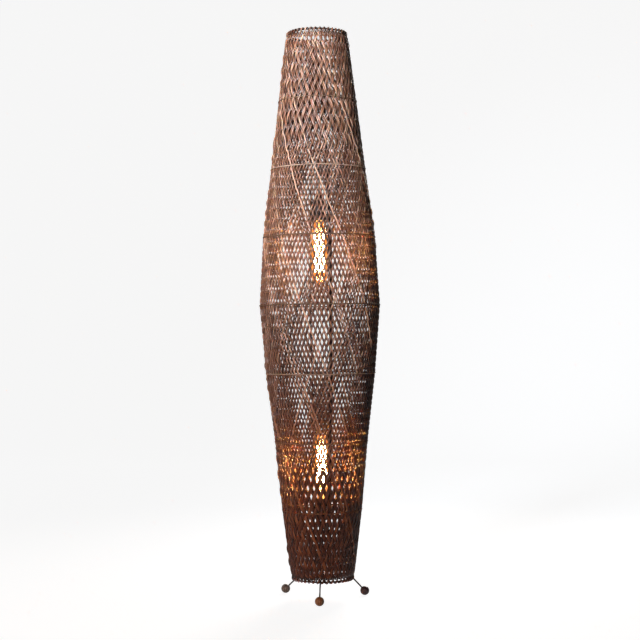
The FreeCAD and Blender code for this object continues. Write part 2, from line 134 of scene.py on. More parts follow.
def ramp(tree, source, stops):
    made = tree.nodes.new("ShaderNodeValToRGB")
    tree.links.new(source, made.inputs["Fac"])
    elements = made.color_ramp.elements
    while len(elements) < len(stops):
        elements.new(0.5)
    for element, (position, colour) in zip(elements, stops):
        element.position = position
        element.color = (*colour, 1.0)
    return made.outputs["Color"]


def mixed(tree, fac, a, b, blend="MIX"):
    made = tree.nodes.new("ShaderNodeMix")
    made.data_type = "RGBA"
    made.blend_type = blend
    for socket, value in zip((made.inputs[0], made.inputs[6], made.inputs[7]), (fac, a, b)):
        if isinstance(value, bpy.types.NodeSocket):
            tree.links.new(value, socket)
        elif isinstance(value, tuple):
            socket.default_value = (*value, 1.0)
        else:
            socket.default_value = value
    return made.outputs[2]


def math_node(tree, operation, a, b=0.0):
    made = tree.nodes.new("ShaderNodeMath")
    made.operation = operation
    for socket, value in zip(made.inputs, (a, b)):
        if isinstance(value, bpy.types.NodeSocket):
            tree.links.new(value, socket)
        else:
            socket.default_value = value
    return made.outputs[0]


def weighted_sum(tree, *terms):
    """The sum of sockets, each times its weight."""
    total = None
    for source, weight in terms:
        part = math_node(tree, "MULTIPLY", source, weight)
        total = part if total is None else math_node(tree, "ADD", total, part)
    return total


def mapped(tree, source, **values):
    mapping = node(tree, "ShaderNodeMapping", **values)
    tree.links.new(source, mapping.inputs["Vector"])
    return mapping.outputs["Vector"]


def axis_z(tree, source):
    made = tree.nodes.new("ShaderNodeSeparateXYZ")
    tree.links.new(source, made.inputs[0])
    return made.outputs["Z"]


def object_coords(tree):
    return tree.nodes.new("ShaderNodeTexCoord").outputs["Object"]


def noise(tree, vector, scale, detail=3.0, roughness=0.55):
    made = node(tree, "ShaderNodeTexNoise", Scale=scale, Detail=detail, Roughness=roughness)
    tree.links.new(vector, made.inputs["Vector"])
    return made.outputs["Fac"]


def stretched_noise(tree, vector, scale, detail=3.0, roughness=0.55):
    """Noise with its own scale along each axis."""
    return noise(tree, mapped(tree, vector, Scale=scale), 1.0, detail, roughness)


def bump(tree, shader, height, strength, distance):
    made = node(tree, "ShaderNodeBump", Strength=strength, Distance=distance)
    tree.links.new(height, made.inputs["Height"])
    tree.links.new(made.outputs["Normal"], shader.inputs["Normal"])


def rough_range(tree, shader, source, low, high):
    made = node(tree, "ShaderNodeMapRange", To_Min=low, To_Max=high)
    tree.links.new(source, made.inputs["Value"])
    tree.links.new(made.outputs["Result"], shader.inputs["Roughness"])


def cane_material(name, dark, mid, light, rough):
    """Stained cane: streaks along the stem, joints across it, a tint of each stem's own, painted shade that
    makes it darker and warmer towards the foot, and painted highlights on the crests with painted shade in the
    hollows.
    It reads the attributes that tubes_object writes."""
    mat, tree, shader = new_material(name)
    stem = attribute(tree, "stem", "Vector")
    streaks = stretched_noise(tree, stem, (1.6, 1.6, 16.0), 4.0, 0.6)
    blotches = stretched_noise(tree, stem, (0.3, 0.3, 9.0), 2.0)
    fibres = stretched_noise(tree, stem, (7.0, 7.0, 30.0), 2.0)
    shade = weighted_sum(tree, (streaks, 0.55), (blotches, 0.35), (attribute(tree, "tint", "Fac"), 0.62))
    colour = ramp(tree, math_node(tree, "SUBTRACT", shade, 0.29), ((0.12, dark), (0.46, mid), (0.90, light)))

    joint_wave = math_node(tree, "SINE", math_node(tree, "MULTIPLY", axis_z(tree, stem), 16.0))
    joint = math_node(tree, "LESS_THAN", math_node(tree, "ABSOLUTE", joint_wave), 0.045)
    colour = mixed(tree, math_node(tree, "MULTIPLY", joint, 0.55), colour, tuple(c * 0.35 for c in dark))

    # Painted shade: the colour grows darker and warmer towards the foot.
    low = node(tree, "ShaderNodeMapRange", From_Min=FOOT_SHADE_TOP, From_Max=FOOT_SHADE_FULL)
    low.interpolation_type = "SMOOTHSTEP"
    tree.links.new(axis_z(tree, object_coords(tree)), low.inputs["Value"])
    foot_shaded = mixed(tree, 1.0, colour, FOOT_SHADE, "MULTIPLY")
    colour = mixed(tree, low.outputs["Result"], colour, foot_shaded)

    # Painted highlight and shade: the outward side of each crest is brightened and the hollows are darkened.
    painted_crest_light = math_node(tree, "MULTIPLY", attribute(tree, "crest", "Fac"), CREST_HIGHLIGHT)
    colour = mixed(tree, 1.0, colour, math_node(tree, "ADD", painted_crest_light, HOLLOW_SHADE), "MULTIPLY")
    tree.links.new(colour, shader.inputs["Base Color"])
    rough_range(tree, shader, fibres, rough - 0.09, rough + 0.12)
    bump(tree, shader, weighted_sum(tree, (fibres, 0.6), (joint, 0.8)), 0.35, 0.0004)
    set_inputs(shader, Specular_IOR_Level=0.5, Subsurface_Weight=0.30, Subsurface_Radius=(1.0, 0.40, 0.16),
               Subsurface_Scale=0.0035)
    return mat


def painted_wire(name, dark, light, rough):
    """Paint over wire, with grime, a fine orange peel and a few worn spots."""
    mat, tree, shader = new_material(name)
    coords = object_coords(tree)
    grime = noise(tree, coords, 45.0, 4.0, 0.6)
    peel = noise(tree, coords, 900.0, 2.0)
    wear = math_node(tree, "GREATER_THAN", noise(tree, coords, 120.0, 5.0, 0.7), 0.66)
    colour = ramp(tree, grime, ((0.30, dark), (0.75, light)))
    colour = mixed(tree, math_node(tree, "MULTIPLY", wear, 0.5), colour, (0.30, 0.24, 0.20))
    tree.links.new(colour, shader.inputs["Base Color"])
    rough_range(tree, shader, grime, rough - 0.08, rough + 0.12)
    set_inputs(shader, Metallic=0.25, Coat_Weight=0.25)
    bump(tree, shader, math_node(tree, "ADD", peel, grime), 0.25, 0.0002)
    return mat


def metal(name, base, tarnish, rough):
    """Plated metal, brushed round its axis, with tarnished spots."""
    mat, tree, shader = new_material(name)
    coords = object_coords(tree)
    brushed = stretched_noise(tree, coords, (60.0, 60.0, 900.0))
    spots = noise(tree, coords, 140.0, 4.0, 0.65)
    tree.links.new(ramp(tree, spots, ((0.35, tarnish), (0.62, base))), shader.inputs["Base Color"])
    set_inputs(shader, Metallic=1.0)
    rough_range(tree, shader, brushed, rough - 0.08, rough + 0.12)
    bump(tree, shader, brushed, 0.12, 0.0001)
    return mat


def moulded(name, base, light, rough):
    """Moulded resin, rubber, ceramic or pressed glass: slight clouds and a fine skin."""
    mat, tree, shader = new_material(name)
    coords = object_coords(tree)
    clouds = noise(tree, coords, 60.0, 4.0, 0.6)
    skin = noise(tree, coords, 700.0, 2.0)
    tree.links.new(ramp(tree, clouds, ((0.30, base), (0.80, light))), shader.inputs["Base Color"])
    rough_range(tree, shader, clouds, rough - 0.07, rough + 0.10)
    bump(tree, shader, skin, 0.18, 0.00015)
    return mat


def turned_wood(name, dark, light, centre):
    """A turned ball: growth rings across one axis, fine pores, and a waxed surface."""
    mat, tree, shader = new_material(name)
    local = mapped(tree, object_coords(tree), Location=tuple(-c for c in centre))
    wave = node(tree, "ShaderNodeTexWave", Scale=190.0, Distortion=4.0, Detail=3.0, Detail_Scale=1.5)
    wave.wave_type = "RINGS"
    wave.rings_direction = "X"
    tree.links.new(local, wave.inputs["Vector"])
    pores = stretched_noise(tree, local, (260.0, 1500.0, 1500.0))
    stain = noise(tree, local, 110.0)
    grain = weighted_sum(tree, (wave.outputs["Fac"], 0.55), (stain, 0.5))
    colour = ramp(tree, grain, ((0.20, dark), (0.85, light)))
    open_pores = math_node(tree, "MULTIPLY", math_node(tree, "GREATER_THAN", pores, 0.60), 0.35)
    colour = mixed(tree, open_pores, colour, tuple(c * 0.4 for c in dark))
    tree.links.new(colour, shader.inputs["Base Color"])
    rough_range(tree, shader, stain, 0.30, 0.48)
    set_inputs(shader, Coat_Weight=0.3, Coat_Roughness=0.25)
    bump(tree, shader, pores, 0.15, 0.0002)
    return mat


def bulb_glass_material():
    """Thin clear glass, faintly amber. Light passes straight through it, its surface reflects, and a weak glow
    of its own stands in for the light that a camera spreads round a bright bulb."""
    mat, tree, shader = new_material("bulb_glass")
    tree.nodes.remove(shader)
    see_through = node(tree, "ShaderNodeBsdfTransparent")
    cloud = noise(tree, object_coords(tree), 25.0)
    amber = ramp(tree, cloud, ((0.3, (0.98, 0.86, 0.66)), (0.7, (1.0, 0.92, 0.78))))
    tree.links.new(amber, see_through.inputs["Color"])
    shine = node(tree, "ShaderNodeBsdfGlossy", Roughness=0.04, Color=(1.0, 0.97, 0.92, 1.0))
    fresnel = node(tree, "ShaderNodeFresnel", IOR=1.45)
    mix = tree.nodes.new("ShaderNodeMixShader")
    tree.links.new(fresnel.outputs["Fac"], mix.inputs["Fac"])
    tree.links.new(see_through.outputs[0], mix.inputs[1])
    tree.links.new(shine.outputs[0], mix.inputs[2])
    glow = node(tree, "ShaderNodeEmission", Strength=0.16, Color=(1.0, 0.38, 0.11, 1.0))
    both = tree.nodes.new("ShaderNodeAddShader")
    tree.links.new(mix.outputs[0], both.inputs[0])
    tree.links.new(glow.outputs[0], both.inputs[1])
    tree.links.new(both.outputs[0], tree.nodes["Material Output"].inputs["Surface"])
    return mat


def filament_material(place):
    mat, tree, shader = new_material(f"glowing_filament_{place}")
    coil = stretched_noise(tree, object_coords(tree), (400.0, 400.0, 2500.0), 2.0)
    colour = ramp(tree, coil, ((0.3, (1.0, 0.50, 0.16)), (0.7, (1.0, 0.66, 0.28))))
    tree.links.new(colour, shader.inputs["Base Color"])
    tree.links.new(colour, shader.inputs["Emission Color"])
    set_inputs(shader, Emission_Strength=FILAMENT_STRENGTH[place])
    return mat


# ---------------------------------------------------------------- mesh helpers

def tube_sections(points, refs, sides, closed, flat):
    """Offsets of each tube's surface from its centre line at radius 1, as a (tube, point, side, 3) array."""
    following = np.roll(points, -1, axis=1)
    preceding = np.roll(points, 1, axis=1)
    if not closed:
        following[:, -1] = points[:, -1]
        preceding[:, 0] = points[:, 0]
    tangent = following - preceding
    tangent /= np.linalg.norm(tangent, axis=2, keepdims=True)
    first = refs - (refs * tangent).sum(axis=2, keepdims=True) * tangent
    first /= np.linalg.norm(first, axis=2, keepdims=True)
    second = np.cross(tangent, first) * flat
    turn = 2 * np.pi * np.arange(sides) / sides
    return first[:, :, None] * np.cos(turn)[:, None] + second[:, :, None] * np.sin(turn)[:, None]


def tube_faces(tube_count, point_count, sides, closed):
    """The corners of all faces in one row, and how many each face has. Open tubes end in flat caps."""
    ring_base = (np.arange(tube_count)[:, None] * point_count + np.arange(point_count)[None]) * sides
    start = ring_base if closed else ring_base[:, :-1]
    end = np.roll(ring_base, -1, axis=1) if closed else ring_base[:, 1:]
    side = np.arange(sides)
    after = (side + 1) % sides
    start, end = start[..., None], end[..., None]
    quads = np.stack([start + side, start + after, end + after, end + side], axis=-1).reshape(-1, 4)
    corners = [quads.reshape(-1)]
    sizes = [np.full(len(quads), 4)]
    if not closed:
        low = ring_base[:, 0][:, None] + side[::-1]
        high = ring_base[:, -1][:, None] + side
        corners += [low.reshape(-1), high.reshape(-1)]
        sizes += [np.full(2 * tube_count, sides)]
    return np.concatenate(corners).astype(np.int32), np.concatenate(sizes).astype(np.int32)


def tube_stems(points, sides):
    """The place round and along each tube, with a shift of its own, for the cane material's noise."""
    tube_count, point_count, _ = points.shape
    step = np.linalg.norm(np.diff(points, axis=1), axis=2)
    along = np.concatenate([np.zeros((tube_count, 1)), np.cumsum(step, axis=1)], axis=1)
    turn = 2 * np.pi * np.arange(sides) / sides
    number = np.arange(tube_count)[:, None, None]
    stem = np.empty((tube_count, point_count, sides, 3))
    stem[..., 0] = np.cos(turn) + 5.3 * number
    stem[..., 1] = np.sin(turn) + 2.9 * number
    stem[..., 2] = along[:, :, None] + 0.37 * number
    return stem


def tubes_object(name, points, refs, radii, tints, sides, material, body, nodes=(), closed=False,
                 flat=1.0, crests=0.5):
    """One mesh of many tubes of equal point count. points and refs are (tube, point, 3) arrays; refs give each
    section's first axis, and flat is its other axis as a share of the first. The mesh gets the attributes stem,
    tint, a value per tube, and crest, how far out of the weave the tube lies there, on its outward side."""
    tube_count, point_count, _ = points.shape
    radii, crests = (np.broadcast_to(np.asarray(values, dtype=float), (tube_count, point_count))[:, :, None]
                     for values in (radii, crests))
    sections = tube_sections(points, refs, sides, closed, flat)
    verts = points[:, :, None] + sections * radii[..., None]
    outward = points[..., :2] / np.linalg.norm(points[..., :2], axis=2, keepdims=True)
    facing = (sections[..., :2] * outward[:, :, None]).sum(axis=3) / flat
    corners, sizes = tube_faces(tube_count, point_count, sides, closed)

    mesh = bpy.data.meshes.new(name)
    mesh.vertices.add(tube_count * point_count * sides)
    mesh.vertices.foreach_set("co", verts.astype(np.float32).ravel())
    mesh.loops.add(len(corners))
    mesh.loops.foreach_set("vertex_index", corners)
    mesh.polygons.add(len(sizes))
    mesh.polygons.foreach_set("loop_start", np.concatenate([[0], np.cumsum(sizes)[:-1]]).astype(np.int32))
    mesh.polygons.foreach_set("loop_total", sizes)
    mesh.update(calc_edges=True)
    mesh.validate()
    smooth = np.ones(len(mesh.polygons), dtype=bool)
    if not closed:
        smooth[-2 * tube_count:] = False
    mesh.polygons.foreach_set("use_smooth", smooth)
    for key, kind, field, values in (
            ("stem", "FLOAT_VECTOR", "vector", tube_stems(points, sides)),
            ("tint", "FLOAT", "value", np.repeat(np.asarray(tints), point_count * sides)),
            ("crest", "FLOAT", "value", crests * np.clip(facing, 0, 1))):
        made = mesh.attributes.new(key, kind, "POINT")
        made.data.foreach_set(field, values.astype(np.float32).ravel())
    return add_piece(name, mesh, material, body, nodes)


def add_piece(name, mesh, material, body, nodes=()):
    piece = bpy.data.objects.new(name, mesh)
    bpy.context.scene.collection.objects.link(piece)
    mesh.materials.append(material)
    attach(piece, body)
    if nodes:
        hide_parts(*nodes)
    return piece


def smooth_mesh(name, verts, faces):
    mesh = bpy.data.meshes.new(name)
    mesh.from_pydata(verts, [], faces)
    mesh.update()
    mesh.polygons.foreach_set("use_smooth", [True] * len(mesh.polygons))
    return mesh


def lathed(profile, first, segments=64):
    """Points and faces of a closed surface of revolution about the lamp's axis, numbered from first. Its
    profile is (radius, z) points that start and end on the axis."""
    verts, rings = [], []
    for radius, z in profile:
        count = 1 if radius < 1e-7 else segments
        rings.append(range(first + len(verts), first + len(verts) + count))
        turns = (2 * math.pi * s / segments for s in range(count))
        verts += [(radius * math.cos(turn), radius * math.sin(turn), z) for turn in turns]
    faces = []
    for low, high in zip(rings, rings[1:]):
        for s in range(segments):
            t = (s + 1) % segments
            if len(low) == 1:
                faces.append((low[0], high[t], high[s]))
            elif len(high) == 1:
                faces.append((low[s], low[t], high[0]))
            else:
                faces.append((low[s], low[t], high[t], high[s]))
    return verts, faces


# ---------------------------------------------------------------- the skin's profile

def half_width(name):
    low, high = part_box(name)
    return (high[0] - low[0]) / 2


def mid_height(name):
    low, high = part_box(name)
    return (high[2] + low[2]) / 2


LEVEL_Z = np.array([mid_height(name) for name in RING_NODES])
RIM_CENTRE = {"top": half_width("top_rim_ring") - RIM_WIRE_RADIUS,
              "bottom": half_width("bottom_rim_ring") - RIM_WIRE_RADIUS}
BAND_SKIN = [half_width(f"weave_band_{k}") for k in range(1, LEVELS)]
HOOP_SKIN = [min(above, below) for above, below in zip(BAND_SKIN, BAND_SKIN[1:])]
SKIN = np.array([RIM_CENTRE["top"] + RIM_WRAP + WAVE, *HOOP_SKIN, RIM_CENTRE["bottom"] + RIM_WRAP + WAVE])
TOP_Z, BOTTOM_Z = LEVEL_Z[0], LEVEL_Z[-1]


def skin_radius(z):
    """The skin's outer radius, with its corners at the hoops slightly eased."""
    total = 0.0
    for shift in (-9, -6, -3, 0, 3, 6, 9):
        total = total + np.interp(np.clip(z + shift * MM, BOTTOM_Z, TOP_Z), LEVEL_Z[::-1], SKIN[::-1])
    return total / 7


def mid_radius(z):
    """The radius about which the canes wave in and out."""
    return skin_radius(z) - CANE_THICKNESS


# How far a cane has turned at each height: its lean is constant, and a whole number of pitches fits the height
HEIGHTS = np.linspace(BOTTOM_Z, TOP_Z, 6001)
SLOPE = 1.0 / mid_radius(HEIGHTS)
RISE = np.concatenate([[0.0], np.cumsum((SLOPE[1:] + SLOPE[:-1]) / 2 * np.diff(HEIGHTS))])
RAW_TURN = math.tan(LEAN) * RISE
PITCH = 2 * math.pi / PAIRS
WHOLE_PITCHES = round((RAW_TURN[-1] + RIM_TURN) / PITCH)
TURN = RAW_TURN * ((WHOLE_PITCHES * PITCH - RIM_TURN) / RAW_TURN[-1])
TOTAL_TURN = TURN[-1]
LAST_ROW = TOTAL_TURN + RIM_TURN / 2


def turn_at(z):
    return float(np.interp(z, HEIGHTS, TURN))


def nearest_even_row(z):
    """The turn at the crossing row nearest to a height where right-leaning canes lie outside."""
    return LAST_ROW - round((LAST_ROW - turn_at(z)) / PITCH) * PITCH


FINE_TOP = nearest_even_row(LEVEL_Z[EVEN_TOP] + SPREAD_LENGTH / 2)
FINE_BOTTOM = nearest_even_row(LEVEL_Z[EVEN_BOTTOM] - SPREAD_LENGTH / 2)


def smooth_step(x):
    x = np.clip(x, 0.0, 1.0)
    return x * x * (3 - 2 * x)


def from_rims(z, start, length):
    """Rises from 0 to 1 over a length that starts at a distance from either rim."""
    return smooth_step((TOP_Z - z - start) / length) * smooth_step((z - BOTTOM_Z - start) / length)


def pair_spacing(z):
    """The angle between the two canes of a pair, and how evenly spaced all canes are there, from 0 to 1. Close
    to both rims the second cane lies in the middle of the gap, and under the top rim a row of slots is left."""
    even = smooth_step((LEVEL_Z[EVEN_TOP] + SPREAD_LENGTH - z) / SPREAD_LENGTH)
    even = even * smooth_step((z - LEVEL_Z[EVEN_BOTTOM] + SPREAD_LENGTH) / SPREAD_LENGTH)
    opened, closed = (smooth_step((TOP_Z - z - start) / length) for start, length in SLOT_ROW)
    close = PAIR_STEP / mid_radius(z) * (1 - (1 - SLOT_ROW_STEP) * opened * (1 - closed))
    filled = np.maximum(even, 1 - from_rims(z, *RIM_FILL))
    return close + (PITCH / 2 - close) * filled, even


def weave_wave(turn, shift):
    """In and out of the weave, from 1 to -1 and back every two rows of crossings."""
    rate = np.where((turn > FINE_BOTTOM) & (turn < FINE_TOP), 2 * PAIRS, PAIRS)
    return np.tanh(WAVE_FLATNESS * np.cos(rate * (LAST_ROW - turn + shift))) / math.tanh(WAVE_FLATNESS)


def wandering(angle, z):
    """A small shared shift of all canes, so that the openings vary as they do in hand-made work."""
    rise = z * 2 * math.pi
    sideways = 0.9 * np.sin(3 * angle + 2.1 * rise + 0.7) + 0.6 * np.sin(7 * angle - 3.7 * rise + 2.0)
    sideways = sideways + 0.3 * np.sin(11 * angle + 6.3 * rise + 4.1)
    return from_rims(z, 0.0, 0.05) * sideways * MM


def float_share(z, pale):
    """How far each pale cane floats over the others, from 0 to 1. It does so over two or three bands, and every
    hoop that it passes holds it down."""
    middles = RNG.uniform(BOTTOM_Z + 0.1, TOP_Z - 0.1, (len(z), 1))
    reach = RNG.uniform(*FLOAT_REACH, (len(z), 1))
    share = smooth_step((reach - np.abs(z - middles)) / FLOAT_EASE) * from_rims(z, *FLOAT_RIM)
    held, rise = HOOP_HOLD
    for level in LEVEL_Z[1:-1]:
        share = share * smooth_step((np.abs(z - level) - held) / rise)
    return share * pale[:, None]


def cane_paths(starts, direction, second, turns, pale):
    """Centre lines of canes from low to high, as angle, radius and height. direction is 1 for canes that lean
    right, and -1 for left, and second tells a pair's second canes from its first."""
    z = np.interp(turns, TURN, HEIGHTS)
    middle = mid_radius(z)
    spacing, even = pair_spacing(z)
    apart = from_rims(z, *PAIR_OPEN)
    offset = spacing * (1 - apart / 2) if second else -spacing * apart / 2
    side = -direction if second else direction
    shift = side * spacing / 4 * apart * smooth_step(1 - 2 * even)
    wave = WAVE * weave_wave(turns, shift) * direction
    wave = wave + 2 * (WAVE - wave) * float_share(z, pale)
    near_rim = 1 - from_rims(z, 0.0, RIM_CURL)
    rim_centre = np.where(z > (TOP_Z + BOTTOM_Z) / 2, RIM_CENTRE["top"], RIM_CENTRE["bottom"])
    wrapped = rim_centre + direction * RIM_WRAP
    radius = middle + wave + (wrapped - middle - wave) * near_rim
    angle = starts[:, None] + direction * turns + offset
    rows = np.arange(len(starts))[:, None]
    phases = RNG.uniform(0, 2 * math.pi, (len(starts), 3))
    own = 0.0
    for k, (rate, weight) in enumerate(OWN_WANDER):
        own = own + np.sin(z * rate * (1 + 0.1 * np.sin(rows * 1.7 + rate)) + phases[:, k, None]) * weight
    angle = angle + (own * MM * from_rims(z, 0.0, 0.06) + wandering(angle, z)) / middle
    return angle, radius, z


def with_wraps(angle, radius, z, direction):
    """Adds the turn round a rim ring: right-leaning canes end over the top one, and left-leaning canes start
    under the bottom one."""
    sweep = np.linspace(0, math.pi, WRAP_STEPS + 1)[1:]
    if direction > 0:
        shifted = angle[:, -1:] + RIM_TURN * sweep[None] / math.pi
        turned = RIM_CENTRE["top"] + RIM_WRAP * np.cos(sweep)
        lifted = TOP_Z + RIM_WRAP * np.sin(sweep)
    else:
        sweep = sweep[::-1]
        shifted = angle[:, :1] + RIM_TURN * sweep[None] / math.pi
        turned = RIM_CENTRE["bottom"] - RIM_WRAP * np.cos(sweep)
        lifted = BOTTOM_Z - RIM_WRAP * np.sin(sweep)
    wraps = [shifted, np.broadcast_to(turned, shifted.shape), np.broadcast_to(lifted, shifted.shape)]
    return [np.concatenate([part, wrap] if direction > 0 else [wrap, part], axis=1)
            for part, wrap in zip((angle, radius, z), wraps)]


def to_points(angle, radius, z):
    """Angles count from the front, -Y, towards +X, as in the CAD."""
    return np.stack([radius * np.sin(angle), -radius * np.cos(angle), z], axis=-1)


def around(angle):
    """Unit vectors along the skin, level, at each angle."""
    return np.stack([np.cos(angle), np.sin(angle), np.zeros_like(angle)], axis=-1)


def cane_tints(count, pale_share):
    tints = np.clip(RNG.normal(TINT_MEAN, TINT_SPREAD, count), 0.0, TINT_TOP)
    pale = RNG.random(count) < pale_share
    return np.where(pale, PALE_LOW + PALE_RANGE * RNG.random(count), tints)


def cane_widths(z):
    """Half widths along each cane: every cane has its own, and all are wider near the foot."""
    base = CANE_HALF_WIDTH * (1.0 + 0.07 * RNG.uniform(-1, 1, (len(z), 1)))
    swell = 1 + 0.03 * np.sin(z * 50 + RNG.uniform(0, 2 * math.pi, (len(z), 1)))
    return base * swell * (1 + WIDE_GAIN * smooth_step((WIDE_TOP - z) / WIDE_LENGTH))


def add_canes(label, paths, tints, material, nodes=()):
    """Makes canes from their paths, some to a piece. The first piece stands for the CAD nodes."""
    angle, radius, z = paths
    points, refs = to_points(angle, radius, z), around(angle)
    crests = np.clip(0.5 + 0.5 * (radius - mid_radius(z)) / WAVE, 0, 1)
    widths = cane_widths(z)
    flat = CANE_THICKNESS / 2 / CANE_HALF_WIDTH
    for number, first in enumerate(range(0, len(z), CANES_PER_PIECE), 1):
        pick = slice(first, first + CANES_PER_PIECE)
        tubes_object(f"{label}_{number}", points[pick], refs[pick], widths[pick], tints[pick], CANE_SIDES,
                     material, "lamp", nodes if number == 1 else (), flat=flat,
                     crests=crests[pick])


def row_turns(low, high):
    """The same even steps of turn for every pair, with STEPS_PER_ROW to each row of crossings."""
    steps = int(round((high - low) / (PITCH / 2))) * STEPS_PER_ROW
    return np.broadcast_to(np.linspace(low, high, steps + 1), (PAIRS, steps + 1))


def make_weave(material):
    bands = [f"weave_band_{k}" for k in range(1, LEVELS)]
    starts = PITCH * np.arange(PAIRS)
    opposite = starts + 2 * TOTAL_TURN + RIM_TURN
    whole = row_turns(0.0, TOTAL_TURN)
    inner = row_turns(turn_at(BOTTOM_Z + SECOND_CANE_END), turn_at(TOP_Z - SECOND_CANE_END))
    for label, first, direction in (("right", starts, 1), ("left", opposite, -1)):
        tints = cane_tints(PAIRS, PALE_SHARE[direction])
        paths = with_wraps(*cane_paths(first, direction, False, whole, tints > PALE_TINT), direction)
        add_canes(f"canes_{label}", paths, tints, material, bands if direction > 0 else ())
        tints = cane_tints(PAIRS, PALE_SHARE[direction])
        angle, radius, z = cane_paths(first, direction, True, inner, tints > PALE_TINT)
        tuck = 1 - from_rims(z, SECOND_CANE_END, SECOND_CANE_TUCK)
        radius = radius + (mid_radius(z) - WAVE - radius) * tuck
        add_canes(f"second_canes_{label}", (angle, radius, z), tints, material)


def make_twine(material):
    """Two strands at each hoop: one lies over the canes and the other dips between them."""
    base = 2 * math.pi * np.arange(TWINE_POINTS) / TWINE_POINTS
    upright = np.broadcast_to((0.0, 0.0, 1.0), (TWINE_POINTS, 3))
    points, refs = [], []
    for level in range(1, LEVELS - 1):
        waves = 2 * PAIRS if EVEN_TOP <= level <= EVEN_BOTTOM else PAIRS
        for strand in (0, 1):
            beat = waves * base + math.pi * strand
            radius = skin_radius(LEVEL_Z[level]) - 0.15 * MM + 0.65 * MM * np.cos(beat)
            lift = 0.75 * MM * np.sin(beat) + 0.5 * MM * np.sin(5 * base + level)
            points.append(to_points(base, radius, LEVEL_Z[level] + lift))
            refs.append(upright)
    tints = [tone for tone in TWINE_TONES for _ in (0, 1)]
    tubes_object("binding_cord", np.array(points), np.array(refs), TWINE_RADIUS, tints, TWINE_SIDES, material,
                 "lamp", ["binding_twine"], closed=True)


# ---------------------------------------------------------------- bulbs

def bulb_frame(place):
    """(mouth height, direction out of the holder) of a bulb."""
    low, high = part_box(f"{place}_holder_body")
    return (low[2], -1) if place == "upper" else (high[2], 1)


def glass_profile(wall):
    """(radius, distance from the mouth) points of the glass, inwards of its outer face by the wall."""
    radius, neck = GLASS_RADIUS - wall, NECK_RADIUS - wall
    tip, dome = GLASS_TIP - wall, GLASS_TIP - DOME_HEIGHT
    points = [(0.0, GLASS_FOOT + wall), (neck, GLASS_FOOT + wall), (neck, NECK_END)]
    for step in range(1, CURVE_STEPS + 1):
        share = step / CURVE_STEPS
        ease = share * share * (3 - 2 * share)
        points.append((neck + (radius - neck) * ease, NECK_END + SHOULDER_LENGTH * share))
    points += [(radius, z) for z in STRAIGHT_RINGS]
    for step in range(CURVE_STEPS):
        angle = math.pi / 2 * step / CURVE_STEPS
        points.append((radius * math.cos(angle), dome + (tip - dome) * math.sin(angle)))
    return points + [(0.0, tip)]


def make_bulb(place, glass):
    """An envelope with its inner face, and a filament strung up and down in a waisted cage."""
    mouth, facing = bulb_frame(place)
    body = f"{place}_bulb"
    outer, inner = ([(r * MM, mouth + facing * z * MM) for r, z in glass_profile(wall)]
                    for wall in (0.0, GLASS_WALL))
    verts, faces = lathed(outer, 0)
    inner_verts, inner_faces = lathed(inner[::-1], len(verts))
    faces += inner_faces
    if facing < 0:
        faces = [face[::-1] for face in faces]
    mesh = smooth_mesh(f"{place}_envelope", verts + inner_verts, faces)
    add_piece(f"{place}_envelope", mesh, glass, body, [f"{place}_bulb_glass"])

    share = np.linspace(0, 1, FILAMENT_POINTS)
    cage = np.interp(share, *zip(*FILAMENT_CAGE))
    path, refs = [], []
    for run in range(FILAMENT_RUNS):
        order = slice(None) if run % 2 == 0 else slice(None, None, -1)
        angle = np.full(FILAMENT_POINTS, 2 * math.pi * run / FILAMENT_RUNS)
        z = mouth + facing * (FILAMENT_START + (FILAMENT_END - FILAMENT_START) * share[order]) * MM
        path.append(to_points(angle, cage[order] * MM, z))
        refs.append(around(angle))
    tubes_object(f"{place}_filament", np.concatenate(path)[None], np.concatenate(refs)[None], FILAMENT_RADIUS,
                 [0.5], FILAMENT_SIDES, filament_material(place), body,
                 [f"{place}_bulb_filament"])


# ---------------------------------------------------------------- put it together

CANE = cane_material("stained_cane", (0.045, 0.015, 0.008), (0.21, 0.088, 0.048), (0.58, 0.34, 0.225), 0.34)
TWINE = cane_material("waxed_twine", (0.10, 0.05, 0.027), (0.31, 0.175, 0.105), (0.66, 0.46, 0.35), 0.62)
make_weave(CANE)
make_twine(TWINE)

GLASS = bulb_glass_material()
for place in ("upper", "lower"):
    make_bulb(place, GLASS)

WIRE = painted_wire("frame_paint", (0.030, 0.013, 0.008), (0.085, 0.035, 0.022), 0.42)
LEG = painted_wire("leg_paint", (0.035, 0.028, 0.024), (0.10, 0.082, 0.072), 0.38)
BRASS = metal("brass", (0.80, 0.58, 0.26), (0.50, 0.34, 0.15), 0.30)
ZINC = metal("zinc_plate", (0.62, 0.62, 0.64), (0.42, 0.41, 0.40), 0.34)
RESIN = moulded("dark_resin", (0.012, 0.010, 0.009), (0.035, 0.028, 0.024), 0.36)
RUBBER = moulded("black_rubber", (0.010, 0.010, 0.010), (0.030, 0.030, 0.032), 0.60)
NYLON = moulded("tie_nylon", (0.020, 0.020, 0.022), (0.045, 0.045, 0.048), 0.48)
CERAMIC = moulded("white_ceramic", (0.66, 0.63, 0.56), (0.80, 0.78, 0.72), 0.40)
BLACK_GLAZE = moulded("cap_glaze", (0.010, 0.008, 0.020), (0.022, 0.018, 0.035), 0.18)
MOUNT_GLASS = moulded("mount_glass", (0.62, 0.58, 0.50), (0.74, 0.70, 0.62), 0.14)
